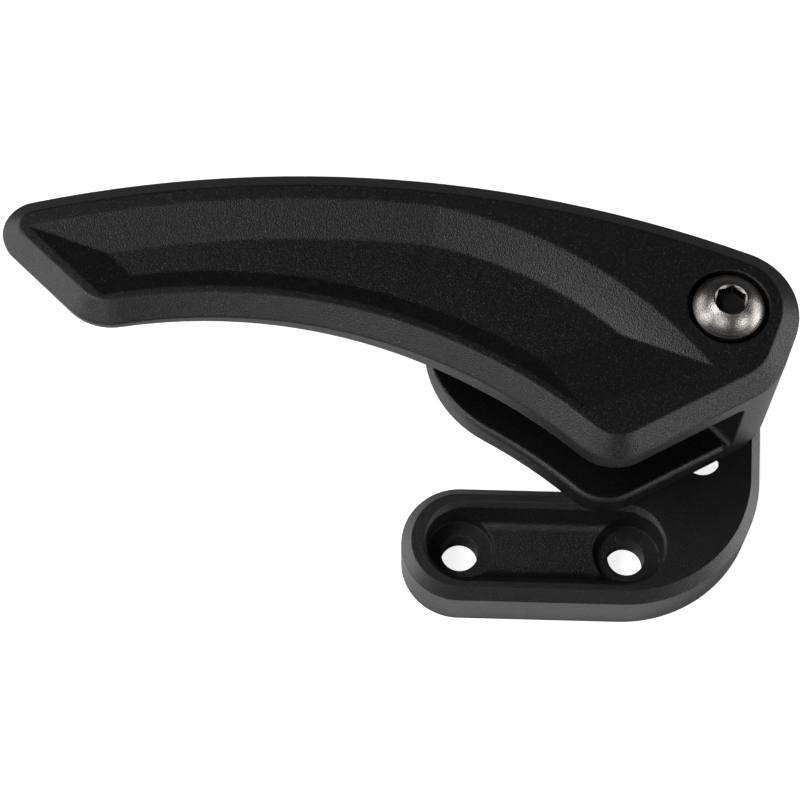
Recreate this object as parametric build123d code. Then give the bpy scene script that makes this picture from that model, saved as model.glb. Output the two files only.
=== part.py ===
"""Bicycle chain guide: one moulded guide, clamped by a single bolt to a two-hole mount bracket.

Millimetres. X runs along the two mounting holes and Z along the pivot bolt, away from the frame.
The origin lies midway between the two mounting holes, on the bracket's back face.
"""
from build123d import *
from math import acos, cos, degrees, radians, sin, sqrt
import os

# Mount bracket
hole_spacing = 25.0
hole_radius = 2.75
bracket_thickness = 10.0
arm_half_width = 8.8
bracket_corner_radius = 21.0
bracket_corner_x = 11.45
leg_end_radius = 8.4
leg_inner_radius = 6.0
rim_bevel_width = 1.5
rim_bevel_height = 1.8
pocket_radius = 6.3
pocket_end_inset = 0.8
pocket_edge_bevel = 0.8
pocket_depth = 4.0
pocket_draft = 24.0
pocket_foot_radius = 1.4
counterbore_radius = 5.1
counterbore_depth = 6.0
spare_hole_x = 23.6
spare_hole_y = 14.1
spare_hole_radius = 2.75
spare_counterbore_radius = 5.3
spare_web_thickness = 2.0

# Pivot bolt, a button head screw with a hexagon socket
bolt_x = 24.95
bolt_y = 28.35
bolt_radius = 3.0
bolt_length = 30.0
bolt_tip_bevel = 0.6
head_radius = 5.15
head_height = 3.2
head_edge_height = 0.65
head_top_radius = 2.45
socket_width = 4.0
socket_depth = 2.1
socket_mouth_bevel = 0.35
socket_turn = 20.0
thread_clearance = 0.02
swing_clearance = 0.06

# Guide body, across its thickness
guide_height = 22.5
inner_plate_thickness = 4.0
outer_plate_thickness = 5.35
wing_tip_thickness = 3.2
flare_start_x = -11.0
inner_edge_radius = 0.9
head_pocket_radius = 5.9
head_pocket_depth = 2.4
head_seat_radius = 4.7
head_seat_depth = 0.75

# Guide body, seen along the bolt: the chain runs round the crank axis under the wing
crank_x = -47.2
crank_y = -52.6
chain_edge_radius = 78.4
slot_end_radius = 100.6
top_edge_radius = 173.7
top_edge_gap = 10.52
top_edge_fall = 20.85
end_gap = 10.43
end_slope = 69.5
toe_gap = 13.16
toe_slope = 29.5
tip_gap = 66.11
tip_slope = 43.0
tip_corner_radius = 5.1
heel_corner_radius = 8.4
toe_corner_radius = 7.4
chin_corner_radius = 10.0
crown_corner_radius = 10.2
inner_plate_end_radius = 18.0
inner_plate_end_angle = 61.1
inner_plate_shoulder_radius = 6.0
slot_foot_radius = 1.2

# Wing's edge bevel and sculpted recess
wing_bevel_width = 2.8
wing_bevel_height = 2.3
recess_depth = 1.8
recess_top_gap = 5.1
recess_top_slope = 5.7
recess_low_gap = 4.0
recess_low_slope = 3.2
recess_tip_gap = 4.25
recess_tip_slope = 5.5
sweep_x = -30.2
sweep_y = -21.3
sweep_radius = 66.3
tail_slope = 21.0
tail_gap = 8.05
tail_ramp = 9.7

# Levels along the bolt
bracket_face_z = bracket_thickness
inner_plate_z = bracket_face_z + inner_plate_thickness
outer_face_z = bracket_face_z + guide_height
outer_plate_z = outer_face_z - outer_plate_thickness
head_pocket_z = outer_face_z - head_pocket_depth
head_seat_z = outer_face_z - head_seat_depth

# A sheet wide enough to stand for half of the plane
far = 4 * (chain_edge_radius + top_edge_radius)

bolt_axis = Vector(bolt_x, bolt_y)
crank_axis = Vector(crank_x, crank_y)


def toward(angle):
    """Unit vector at an angle from the X axis."""
    return Vector(cos(radians(angle)), sin(radians(angle)))


def disc(centre, radius):
    return Pos(centre.X, centre.Y) * Circle(radius)


def left_of(point, angle):
    """Half plane on the left of a line through a point."""
    return Pos(point.X, point.Y) * Rot(0, 0, angle) * Rectangle(far, far, align=(Align.CENTER, Align.MIN))


def round_corner(sketch, corner, radius):
    nearest = sketch.vertices().sort_by_distance(corner)[0]
    return fillet(nearest, radius)


def prism(sketch, low, high):
    return Pos(0, 0, low) * extrude(sketch, high - low)


def pin(centre, radius, low, high):
    return prism(disc(centre, radius), low, high)


top_centre = bolt_axis - toward(90 - top_edge_fall) * (top_edge_radius - top_edge_gap)


def tip_side(inset):
    """Half plane behind the wing's slanted tip, moved in by an inset."""
    point = bolt_axis - toward(90 - tip_slope) * (tip_gap - inset)
    return left_of(point, -tip_slope)


def make_wing_outline():
    toe_point = bolt_axis + toward(toe_slope - 90) * toe_gap
    end_point = bolt_axis + toward(end_slope - 90) * end_gap
    sharp = disc(top_centre, top_edge_radius) & tip_side(0)
    sharp = sharp & left_of(toe_point, toe_slope) & left_of(end_point, end_slope)
    sharp = sharp - disc(crank_axis, chain_edge_radius)
    tip, heel, toe, *right = sharp.vertices().sort_by(Axis.X)
    chin, crown = sorted(right, key=lambda vertex: vertex.Y)
    outline = round_corner(sharp, tip, tip_corner_radius)
    outline = round_corner(outline, heel, heel_corner_radius)
    outline = round_corner(outline, toe, toe_corner_radius)
    outline = round_corner(outline, chin, chin_corner_radius)
    return round_corner(outline, crown, crown_corner_radius)


def make_plate_outline(wing_outline):
    """The wing's outline up to a round end that touches the chain edge."""
    outward = toward(inner_plate_end_angle)
    end = crank_axis + outward * (chain_edge_radius + inner_plate_end_radius)
    right_side = left_of(end, inner_plate_end_angle + 180)
    outline = wing_outline & (right_side + disc(end, inner_plate_end_radius))
    shoulder = end + toward(inner_plate_end_angle + 90) * inner_plate_end_radius
    return round_corner(outline, shoulder, inner_plate_shoulder_radius)


def recess_outline(share):
    """Recess edge at the outer face (share 0) or round its floor (share 1)."""
    tail_point = bolt_axis + toward(tail_slope - 90) * (tail_gap - share * tail_ramp)
    area = disc(top_centre, top_edge_radius - recess_top_gap - share * recess_top_slope)
    sweep_axis = Vector(sweep_x, sweep_y)
    area = area & (disc(sweep_axis, sweep_radius - share * recess_top_slope) + left_of(sweep_axis, 90))
    area = area & tip_side(recess_tip_gap + share * recess_tip_slope) & left_of(tail_point, tail_slope)
    return area - disc(crank_axis, chain_edge_radius + recess_low_gap + share * recess_low_slope)


def make_outer_plate(wing_outline):
    plate = prism(wing_outline, outer_plate_z, outer_face_z)
    face = plate.faces().sort_by(Axis.Z)[-1]
    plate = chamfer(face.edges(), wing_bevel_width, wing_bevel_height, reference=face)

    # The inner face flares away from the chain towards the tip, along a large arc
    tip_x = wing_outline.bounding_box().min.X
    rise = outer_plate_thickness - wing_tip_thickness
    flare_radius = ((flare_start_x - tip_x)**2 + rise**2) / (2 * rise)
    flare_axis_z = outer_plate_z + rise - flare_radius
    flare = Pos(tip_x, 0, flare_axis_z) * Rot(90, 0, 0) * Cylinder(flare_radius, far)

    floor = Pos(0, 0, outer_face_z - recess_depth) * recess_outline(1)
    rim = Pos(0, 0, outer_face_z) * recess_outline(0)
    return plate - flare - loft([floor, rim], ruled=True)


def make_chain_slot():
    """Disc round the crank axis with rounded rims: its rim is the closed back of the slot."""
    slot = pin(crank_axis, slot_end_radius, inner_plate_z, outer_plate_z)
    return fillet(slot.edges().filter_by(GeomType.CIRCLE), slot_foot_radius)


def make_guide_body():
    wing_outline = make_wing_outline()
    plate_outline = make_plate_outline(wing_outline)
    body = make_outer_plate(wing_outline) + prism(plate_outline, bracket_face_z, outer_plate_z)
    body = body - make_chain_slot()

    # The inner plate's edge is rounded where the chain enters
    plate = prism(plate_outline, bracket_face_z, inner_plate_z)
    rounded = fillet(plate.faces().sort_by(Axis.Z)[-1].edges(), inner_edge_radius)
    mouth = pin(crank_axis, slot_end_radius - slot_foot_radius, bracket_face_z, inner_plate_z)
    body = body - ((plate - rounded) & mouth)

    # The bolt's head sits on a raised seat in the middle of its pocket
    pocket = pin(bolt_axis, head_pocket_radius, head_pocket_z, outer_face_z)
    seat = pin(bolt_axis, head_seat_radius, head_pocket_z, head_seat_z)
    body = body - (pocket - seat)
    return body - pin(bolt_axis, bolt_radius + swing_clearance, bracket_face_z, outer_face_z)


def make_bracket_outline():
    arm_end = Vector(-hole_spacing / 2, 0)
    corner = Vector(bracket_corner_x, bracket_corner_radius - arm_half_width)
    span = bolt_axis - corner
    rise = degrees(acos(span.X / span.length))
    lean = rise - degrees(acos((bracket_corner_radius - leg_end_radius) / span.length))
    leg_x = bolt_x - leg_end_radius
    bend = Vector(leg_x - leg_inner_radius, arm_half_width + leg_inner_radius)
    edges = [
        Line((arm_end.X, -arm_half_width), (corner.X, -arm_half_width)),
        CenterArc(corner, bracket_corner_radius, -90, 90 + lean),
        Line(corner + toward(lean) * bracket_corner_radius, bolt_axis + toward(lean) * leg_end_radius),
        CenterArc(bolt_axis, leg_end_radius, lean, 180 - lean),
        Line((leg_x, bolt_y), (leg_x, bend.Y)),
        CenterArc(bend, leg_inner_radius, -90, 90),
        Line((bend.X, arm_half_width), (arm_end.X, arm_half_width)),
        CenterArc(arm_end, arm_half_width, 90, 180),
    ]
    return make_face(edges)


def make_pocket():
    """Stadium pocket with a bevelled mouth, drafted walls and a rounded foot."""
    length = hole_spacing - 2 * pocket_end_inset
    wall_radius = pocket_radius - pocket_edge_bevel
    mouth = extrude(SlotCenterToCenter(length, 2 * pocket_radius), -pocket_edge_bevel, taper=45)
    wall_depth = pocket_depth - pocket_edge_bevel
    wall = extrude(SlotCenterToCenter(length, 2 * wall_radius), -wall_depth, taper=pocket_draft)
    wall = fillet(wall.faces().sort_by(Axis.Z)[0].edges(), pocket_foot_radius)
    return Pos(0, 0, bracket_face_z) * (mouth + Pos(0, 0, -pocket_edge_bevel) * wall)


def make_mount_bracket():
    bracket = prism(make_bracket_outline(), 0, bracket_thickness)
    face = bracket.faces().sort_by(Axis.Z)[-1]
    bracket = chamfer(face.edges(), rim_bevel_width, rim_bevel_height, reference=face)
    bracket = bracket - make_pocket()
    for side in (-1, 1):
        hole = Vector(side * hole_spacing / 2, 0)
        bracket = bracket - pin(hole, hole_radius, 0, bracket_thickness)
        bracket = bracket - pin(hole, counterbore_radius, bracket_face_z - counterbore_depth, bracket_face_z)

    # The spare hole is sunk from behind, down to a thin web
    spare_hole = Vector(spare_hole_x, spare_hole_y)
    bracket = bracket - pin(spare_hole, spare_hole_radius, 0, bracket_thickness)
    bracket = bracket - pin(spare_hole, spare_counterbore_radius, 0, bracket_thickness - spare_web_thickness)
    return bracket - pin(bolt_axis, bolt_radius + thread_clearance, 0, bracket_thickness)


def make_pivot_bolt():
    """Shank below the head's seat at Z = 0, button head above it."""
    shank = Cylinder(bolt_radius, bolt_length, align=(Align.CENTER, Align.CENTER, Align.MAX))
    shank = chamfer(shank.edges().sort_by(Axis.Z)[0], bolt_tip_bevel)

    # One sphere passes through the head's straight edge and the rim of its flat top
    rise = head_height - head_edge_height
    drop = (head_radius**2 - head_top_radius**2 - rise**2) / (2 * rise)
    dome = Pos(0, 0, head_edge_height - drop) * Sphere(sqrt(head_radius**2 + drop**2))
    head = Cylinder(head_radius, head_height, align=(Align.CENTER, Align.CENTER, Align.MIN)) & dome

    hexagon = RegularPolygon(socket_width / 2, 6, major_radius=False, rotation=socket_turn)
    socket = Pos(0, 0, head_height) * extrude(hexagon, -socket_depth)
    mouth = Pos(0, 0, head_height) * extrude(
        Circle(socket_width / 2 + socket_mouth_bevel), -socket_mouth_bevel, taper=45)
    return Pos(bolt_x, bolt_y, head_seat_z) * (shank + head - socket - mouth)


parts = {
    "guide_body": make_guide_body(),
    "mount_bracket": make_mount_bracket(),
    "pivot_bolt": make_pivot_bolt(),
}

os.makedirs("parts", exist_ok=True)
for name, solid in parts.items():
    export_step(solid, f"parts/{name}.step")
    print(name, "solids", len(solid.solids()), "volume", round(solid.volume, 1))
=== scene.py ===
"""Looks for the bicycle chain guide: black moulded grain, blasted black bracket, satin steel bolt."""

import math
from typing import NamedTuple

import bpy
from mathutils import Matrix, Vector


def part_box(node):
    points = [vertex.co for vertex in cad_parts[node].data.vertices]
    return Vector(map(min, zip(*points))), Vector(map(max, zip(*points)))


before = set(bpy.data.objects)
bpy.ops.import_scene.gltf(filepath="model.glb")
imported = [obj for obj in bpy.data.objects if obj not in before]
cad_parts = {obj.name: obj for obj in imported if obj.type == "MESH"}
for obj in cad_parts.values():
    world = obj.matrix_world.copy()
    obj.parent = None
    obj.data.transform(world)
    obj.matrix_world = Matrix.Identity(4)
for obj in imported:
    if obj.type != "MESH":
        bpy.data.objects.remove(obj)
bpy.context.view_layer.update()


class BlackFinish(NamedTuple):
    """A speckled black surface: noise scales per metre, colours, and sizes in metres."""
    grain: float
    cloud: float
    speck: float
    dark: tuple
    light: tuple
    pale: tuple
    edge: float
    relief: float


# Camera: places in metres, lens and sensor in millimetres
CAMERA_PLACE = Vector((-0.0185, -0.1077, 0.3023))
CAMERA_AIM = Vector((-0.0218, 0.0124, 0.0325))
CAMERA_LENS = 94.5
SENSOR_WIDTH = 36.0
CLIP_START = 0.01

# Floor, in metres: its colour, dark behind the object as painted shade for the part's reflections, and the
# white that the camera sees, near the object and behind it
FLOOR_SIZE = 6.0
FLOOR_HEIGHT = -0.0002
FLOOR_COLOUR_AND_SHADE = (0.8, 0.2)
FLOOR_WHITE = (0.85, 0.93)
FLOOR_BEHIND = (0.04, 0.10)
FLOOR_IOR = 1.5
FLOOR_ROUGHNESS = 0.12

# Painted reflection: a pale glow on the floor round the object, which its walls reflect, with a painted
# shadow where the bracket stands
POOL_GLOW = 0.29
POOL_DEPTH = (-0.016, 0.028)
POOL_EDGE = 0.008
BRACKET_EDGE = 0.001

# Sheen of the floor at both sides, which the end chamfers reflect at a grazing angle
SHEEN_GLOW = 9.0
SHEEN_GRAZING = (0.74, 0.90)
SHEEN_LEFT = (-0.30, -0.035)
SHEEN_RIGHT = (0.045, 0.30)
SHEEN_DEPTH = (-0.03, 0.04)
SHEEN_EDGE = 0.01

# Soft light: name, azimuth (0 in front, 90 on the right), elevation, width, height, radiance
ROOM_LIGHT = 0.025
DOME_CENTRE = Vector((-0.02, 0.02, 0.02))
DOME_RADIUS = 1.0
SOFTBOXES = (
    ("left_low", 258, 7.2, 1.1, 0.28, 2.8),
    ("right_low", 92, 7.2, 0.9, 0.28, 3.4),
    ("left_mid", 288, 24, 0.4, 0.3, 5.0),
    ("right_mid", 52, 29, 0.45, 0.3, 4.8),
    ("left_high", 272, 57, 0.5, 0.4, 6.8),
    ("front_left", 335, 43, 0.5, 0.4, 3.1),
)

# Shared by the materials: detail of the grain, samples of soft edges, the normal's Z where a face looks up
GRAIN_DETAIL = 1.0
EDGE_SAMPLES = 6
FACING_UP = (0.90, 0.97)

# Black finishes of the guide and of the bracket
NYLON = BlackFinish(
    grain=4800.0, cloud=160.0, speck=6200.0,
    dark=(0.0040, 0.0040, 0.0042, 1.0), light=(0.0060, 0.0060, 0.0062, 1.0), pale=(0.180, 0.180, 0.183, 1.0),
    edge=0.0006, relief=0.000055)
BLASTED = BlackFinish(
    grain=5200.0, cloud=220.0, speck=6600.0,
    dark=(0.0040, 0.0040, 0.0042, 1.0), light=(0.0060, 0.0060, 0.0063, 1.0), pale=(0.160, 0.160, 0.163, 1.0),
    edge=0.00025, relief=0.00008)
BLACK_IOR = 1.5
BLACK_GRAIN = (0.3, 0.7)
BLACK_ROUGHNESS = (0.32, 0.44)
SPECK_PEAKS = (0.58, 0.84)
SPECK_SHARPNESS = 2.0

# Floor of the chain slot, under the wing: the heights where it ends, its tone darkened with painted shade,
# and how it is smoother than the rest of the guide
SLOT_FLOOR = (0.0142, 0.0148)
SLOT_SHADE_TONE = (0.0035, 0.0035, 0.0036, 1.0)
SLOT_POLISH = 0.10
SLOT_RELIEF = 0.1

# Satin steel of the bolt, with its turning rings
STEEL_DARK = (0.25, 0.235, 0.221, 1.0)
STEEL_LIGHT = (0.37, 0.352, 0.336, 1.0)
STEEL_GRAIN = 5000.0
STEEL_CLOUD = 520.0
STEEL_MARKS = (0.4, 1.6)
STEEL_ROUGHNESS = (0.26, 0.36)
STEEL_EDGE = 0.00015
STEEL_RELIEF = 0.00004
STEEL_RELIEF_STRENGTH = 0.8
RINGS = {"Scale": 900.0, "Distortion": 1.5, "Detail": 2.0, "Detail Scale": 3.0}

# Hexagon socket of the bolt: its radius, and its mouth and floor as heights from the head's top
SOCKET_RADIUS = (0.0022, 0.0024)
SOCKET_MOUTH = (-0.0006, -0.0003)
SOCKET_FLOOR = (-0.0030, -0.0026)
SOCKET_ROUGHER = 0.25
# Painted shade in the socket: its tone on the walls, and on the floor, which faces up and is painted less
# dark
SOCKET_WALL_SHADE = 0.011
SOCKET_FLOOR_SHADE = 0.05


class Tree:
    """Short calls for building a node tree."""

    def __init__(self, owner):
        owner.use_nodes = True
        self.nodes = owner.node_tree.nodes
        self.links = owner.node_tree.links
        self.nodes.clear()

    def put(self, value, socket):
        """Links another node's output to a socket, or sets a plain value on it."""
        if isinstance(value, bpy.types.NodeSocket):
            self.links.new(value, socket)
        else:
            socket.default_value = value

    def add(self, kind, inputs=None, **settings):
        """Makes a node with the given inputs and settings."""
        node = self.nodes.new(kind)
        for name, value in settings.items():
            setattr(node, name, value)
        for name, value in (inputs or {}).items():
            self.put(value, node.inputs[name])
        return node

    def object_coords(self):
        return self.add("ShaderNodeTexCoord").outputs["Object"]

    def noise(self, coords, scale, detail=2.0):
        inputs = {"Vector": coords, "Scale": scale, "Detail": detail}
        return self.add("ShaderNodeTexNoise", inputs).outputs["Fac"]

    def spread(self, value, span, out):
        """Maps a value from one span to another and stops at the ends."""
        inputs = {
            "Value": value, "From Min": span[0], "From Max": span[1], "To Min": out[0], "To Max": out[1]}
        return self.add("ShaderNodeMapRange", inputs).outputs["Result"]

    def rise(self, value, span):
        """0 below a span of values and 1 above it."""
        return self.spread(value, span, (0.0, 1.0))

    def fall(self, value, span):
        """1 below a span of values and 0 above it."""
        return self.spread(value, span, (1.0, 0.0))

    def within(self, value, span, edge):
        """1 inside a span of values, falling to 0 over an edge on either side."""
        above = self.rise(value, (span[0] - edge, span[0]))
        return self.math("MULTIPLY", above, self.fall(value, (span[1], span[1] + edge)))

    def math(self, operation, first, second):
        node = self.add("ShaderNodeMath", {0: first, 1: second}, operation=operation)
        return node.outputs["Value"]

    def vector(self, operation, first, second):
        node = self.add("ShaderNodeVectorMath", {0: first, 1: second}, operation=operation)
        return node.outputs["Vector"]

    def length(self, vector):
        return self.add("ShaderNodeVectorMath", {0: vector}, operation="LENGTH").outputs["Value"]

    def parts(self, vector):
        """X, Y and Z of a vector."""
        return self.add("ShaderNodeSeparateXYZ", {"Vector": vector}).outputs

    def blend(self, factor, first, second):
        """Mixes two colours by a factor."""
        node = self.add("ShaderNodeMix", data_type="RGBA")
        for name, value in (("Factor_Float", factor), ("A_Color", first), ("B_Color", second)):
            self.put(value, next(s for s in node.inputs if s.identifier == name))
        return next(s for s in node.outputs if s.identifier == "Result_Color")

    def upward(self):
        """1 on faces that look straight up."""
        normal = self.add("ShaderNodeNewGeometry").outputs["Normal"]
        return self.rise(self.parts(normal)["Z"], FACING_UP)

    def relief(self, height, strength, distance, edge):
        """The surface's normal with softened edges and a bump."""
        soft = self.add("ShaderNodeBevel", {"Radius": edge}, samples=EDGE_SAMPLES).outputs["Normal"]
        inputs = {"Height": height, "Strength": strength, "Distance": distance, "Normal": soft}
        return self.add("ShaderNodeBump", inputs).outputs["Normal"]

    def surface(self, shader):
        """Ends a material with a shader."""
        output = self.add("ShaderNodeOutputMaterial")
        self.links.new(shader.outputs[0], output.inputs["Surface"])


def grey(value):
    return (value, value, value, 1.0)


def add_specks(tree, coords, finish):
    """1 on the small peaks of a fine noise."""
    peaks = tree.rise(tree.noise(coords, finish.speck, GRAIN_DETAIL), SPECK_PEAKS)
    return tree.math("POWER", peaks, SPECK_SHARPNESS)


def add_black_tone(tree, coords, finish, specks):
    """Cloudy black with pale specks."""
    black = tree.blend(tree.noise(coords, finish.cloud), finish.dark, finish.light)
    return tree.blend(specks, black, finish.pale)


def make_moulded_plastic():
    """Black glass filled nylon: moulded grain with small pale specks, smoother on the floor of the slot,
    where painted shade also darkens it and leaves out the specks.
    """
    material = bpy.data.materials.new("moulded_nylon")
    tree = Tree(material)
    coords = tree.object_coords()
    # Mask of the slot's floor: smoother there, and darker with painted shade, without specks
    smooth_shaded_slot = tree.math("MULTIPLY", tree.fall(tree.parts(coords)["Z"], SLOT_FLOOR), tree.upward())

    grain = tree.noise(coords, NYLON.grain, GRAIN_DETAIL)
    specks = tree.math("SUBTRACT", add_specks(tree, coords, NYLON), smooth_shaded_slot)
    specks = tree.math("MAXIMUM", specks, 0.0)
    tone = tree.blend(smooth_shaded_slot, add_black_tone(tree, coords, NYLON, specks), SLOT_SHADE_TONE)
    rough = tree.spread(grain, BLACK_GRAIN, BLACK_ROUGHNESS)
    rough = tree.math("SUBTRACT", rough, tree.math("MULTIPLY", smooth_shaded_slot, SLOT_POLISH))
    strength = tree.spread(smooth_shaded_slot, (0.0, 1.0), (1.0, SLOT_RELIEF))
    normal = tree.relief(grain, strength, NYLON.relief, NYLON.edge)
    tree.surface(tree.add("ShaderNodeBsdfPrincipled", {
        "Base Color": tone, "Roughness": rough, "IOR": BLACK_IOR, "Normal": normal}))
    return material


def make_blasted_metal():
    """Bead blasted aluminium, anodised black, with a little finer grain than the moulding."""
    material = bpy.data.materials.new("blasted_anodised")
    tree = Tree(material)
    coords = tree.object_coords()
    grain = tree.noise(coords, BLASTED.grain, GRAIN_DETAIL)
    tone = add_black_tone(tree, coords, BLASTED, add_specks(tree, coords, BLASTED))
    rough = tree.spread(grain, BLACK_GRAIN, BLACK_ROUGHNESS)
    normal = tree.relief(grain, 1.0, BLASTED.relief, BLASTED.edge)
    tree.surface(tree.add("ShaderNodeBsdfPrincipled", {
        "Base Color": tone, "Roughness": rough, "IOR": BLACK_IOR, "Normal": normal}))
    return material


def make_satin_steel():
    """Satin steel with faint turning rings round the bolt's axis, and a socket rough from broaching,
    darkened with painted shade, less dark on its floor, which faces up.
    """
    material = bpy.data.materials.new("satin_steel")
    tree = Tree(material)
    coords = tree.object_coords()
    low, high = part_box("pivot_bolt")
    middle = (low + high) / 2
    centred = tree.vector("SUBTRACT", coords, (middle.x, middle.y, high.z))
    radius = tree.length(tree.vector("MULTIPLY", centred, (1.0, 1.0, 0.0)))
    height = tree.parts(centred)["Z"]
    inside = tree.math("MULTIPLY", tree.fall(radius, SOCKET_RADIUS), tree.fall(height, SOCKET_MOUTH))
    socket = tree.math("MULTIPLY", inside, tree.rise(height, SOCKET_FLOOR))

    rings = tree.add(
        "ShaderNodeTexWave", {"Vector": centred, **RINGS}, wave_type="RINGS", rings_direction="Z")
    grain = tree.noise(coords, STEEL_GRAIN, GRAIN_DETAIL)
    steel = tree.blend(tree.noise(coords, STEEL_CLOUD), STEEL_DARK, STEEL_LIGHT)
    # Painted shade inside the socket: darkest on its walls, less dark on its floor, which faces up
    socket_shade = tree.blend(tree.upward(), grey(SOCKET_WALL_SHADE), grey(SOCKET_FLOOR_SHADE))
    tone = tree.blend(socket, steel, socket_shade)
    marks = tree.math("ADD", grain, rings.outputs["Fac"])
    rough = tree.spread(marks, STEEL_MARKS, STEEL_ROUGHNESS)
    rough = tree.math("ADD", rough, tree.math("MULTIPLY", socket, SOCKET_ROUGHER))
    normal = tree.relief(grain, STEEL_RELIEF_STRENGTH, STEEL_RELIEF, STEEL_EDGE)
    tree.surface(tree.add("ShaderNodeBsdfPrincipled", {
        "Base Color": tone, "Metallic": 1.0, "Roughness": rough, "Normal": normal}))
    return material


def add_straight_rays(tree, path):
    """1 for what the camera sees straight or through glass."""
    return tree.math("MAXIMUM", path["Is Camera Ray"], path["Is Transmission Ray"])


def add_pool(tree, x, y):
    """Glow of the floor near the object, a painted reflection, left out where the bracket stands and
    straight behind it, as a painted shadow.
    """
    low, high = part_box("mount_bracket")
    beside = tree.math("SUBTRACT", 1.0, tree.within(x, (low.x, high.x), BRACKET_EDGE))
    before = tree.fall(y, (low.y - BRACKET_EDGE, low.y))
    pool = tree.math("MULTIPLY", tree.within(y, POOL_DEPTH, POOL_EDGE), POOL_GLOW)
    return tree.math("MULTIPLY", pool, tree.math("MAXIMUM", beside, before))


def add_side_sheen(tree, x, y):
    """Glow of the floor on the left and on the right, at a grazing angle."""
    left = tree.within(x, SHEEN_LEFT, SHEEN_EDGE)
    right = tree.within(x, SHEEN_RIGHT, SHEEN_EDGE)
    sides = tree.math("MULTIPLY", tree.math("ADD", left, right), tree.within(y, SHEEN_DEPTH, SHEEN_EDGE))
    facing = tree.add("ShaderNodeLayerWeight").outputs["Facing"]
    return tree.math("MULTIPLY", sides, tree.spread(facing, SHEEN_GRAZING, (0.0, SHEEN_GLOW)))


def make_floor():
    """Pale floor just under the bracket, with a light gloss, which still takes the object's shadow. Behind
    the object its colour is painted dark for the part's reflections, and near the object it glows in them, a
    painted reflection.
    """
    bpy.ops.mesh.primitive_plane_add(size=FLOOR_SIZE, location=(0.0, 0.0, FLOOR_HEIGHT))
    floor = bpy.context.object
    floor.name = "floor"
    material = bpy.data.materials.new("pale_floor")
    tree = Tree(material)
    place = tree.parts(tree.add("ShaderNodeNewGeometry").outputs["Position"])
    x, y = place["X"], place["Y"]
    path = tree.add("ShaderNodeLightPath").outputs
    white = tree.spread(y, FLOOR_BEHIND, FLOOR_WHITE)
    seen = tree.math("MULTIPLY", add_straight_rays(tree, path), white)
    glow = tree.math("MAXIMUM", add_pool(tree, x, y), add_side_sheen(tree, x, y))
    mirrored = tree.math("MULTIPLY", path["Is Glossy Ray"], glow)

    # Painted shade: the floor's colour turns dark behind the object, which the camera still sees as white
    lit = tree.add("ShaderNodeBsdfDiffuse", {"Color": tree.spread(y, FLOOR_BEHIND, FLOOR_COLOUR_AND_SHADE)})
    bright = tree.math("MAXIMUM", seen, mirrored)
    shining = tree.add("ShaderNodeEmission", {"Color": grey(1.0), "Strength": bright})
    fresnel = tree.add("ShaderNodeFresnel", {"IOR": FLOOR_IOR}).outputs["Fac"]
    gloss = tree.add("ShaderNodeBsdfGlossy", {"Color": fresnel, "Roughness": FLOOR_ROUGHNESS})
    both = tree.add("ShaderNodeAddShader", {0: lit.outputs[0], 1: shining.outputs[0]})
    tree.surface(tree.add("ShaderNodeAddShader", {0: both.outputs[0], 1: gloss.outputs[0]}))
    floor.data.materials.append(material)


def make_world():
    """White where the camera looks, and a dim room for the light that falls on the part."""
    world = bpy.data.worlds.new("studio")
    bpy.context.scene.world = world
    tree = Tree(world)
    path = tree.add("ShaderNodeLightPath").outputs
    strength = tree.math("MAXIMUM", add_straight_rays(tree, path), ROOM_LIGHT)
    background = tree.add("ShaderNodeBackground", {"Color": grey(1.0), "Strength": strength})
    output = tree.add("ShaderNodeOutputWorld")
    tree.links.new(background.outputs[0], output.inputs["Surface"])


def make_softbox(name, azimuth, elevation, width, height, radiance):
    """A softbox on a dome round the object, facing its middle."""
    turn = math.radians(azimuth)
    rise = math.radians(elevation)
    outward = Vector((math.sin(turn) * math.cos(rise), -math.cos(turn) * math.cos(rise), math.sin(rise)))
    light = bpy.data.lights.new(name, "AREA")
    light.shape = "RECTANGLE"
    light.size = width
    light.size_y = height
    light.energy = radiance * math.pi * width * height
    lamp = bpy.data.objects.new(name, light)
    lamp.location = DOME_CENTRE + outward * DOME_RADIUS
    lamp.rotation_mode = "QUATERNION"
    lamp.rotation_quaternion = (-outward).to_track_quat("-Z", "Y")
    bpy.context.scene.collection.objects.link(lamp)


def make_camera():
    """The photograph's camera."""
    camera = bpy.data.objects.new("camera", bpy.data.cameras.new("camera"))
    camera.data.lens = CAMERA_LENS
    camera.data.sensor_width = SENSOR_WIDTH
    camera.data.clip_start = CLIP_START
    camera.location = CAMERA_PLACE
    camera.rotation_mode = "QUATERNION"
    camera.rotation_quaternion = (CAMERA_AIM - CAMERA_PLACE).to_track_quat("-Z", "Y")
    bpy.context.scene.collection.objects.link(camera)
    bpy.context.scene.camera = camera


def dress(node, material):
    """Gives a CAD node one material."""
    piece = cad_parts[node]
    piece.data.materials.clear()
    piece.data.materials.append(material)


make_camera()
make_world()
make_floor()
for softbox in SOFTBOXES:
    make_softbox(*softbox)

dress("guide_body", make_moulded_plastic())
dress("mount_bracket", make_blasted_metal())
dress("pivot_bolt", make_satin_steel())

bpy.context.scene.view_settings.view_transform = "Standard"
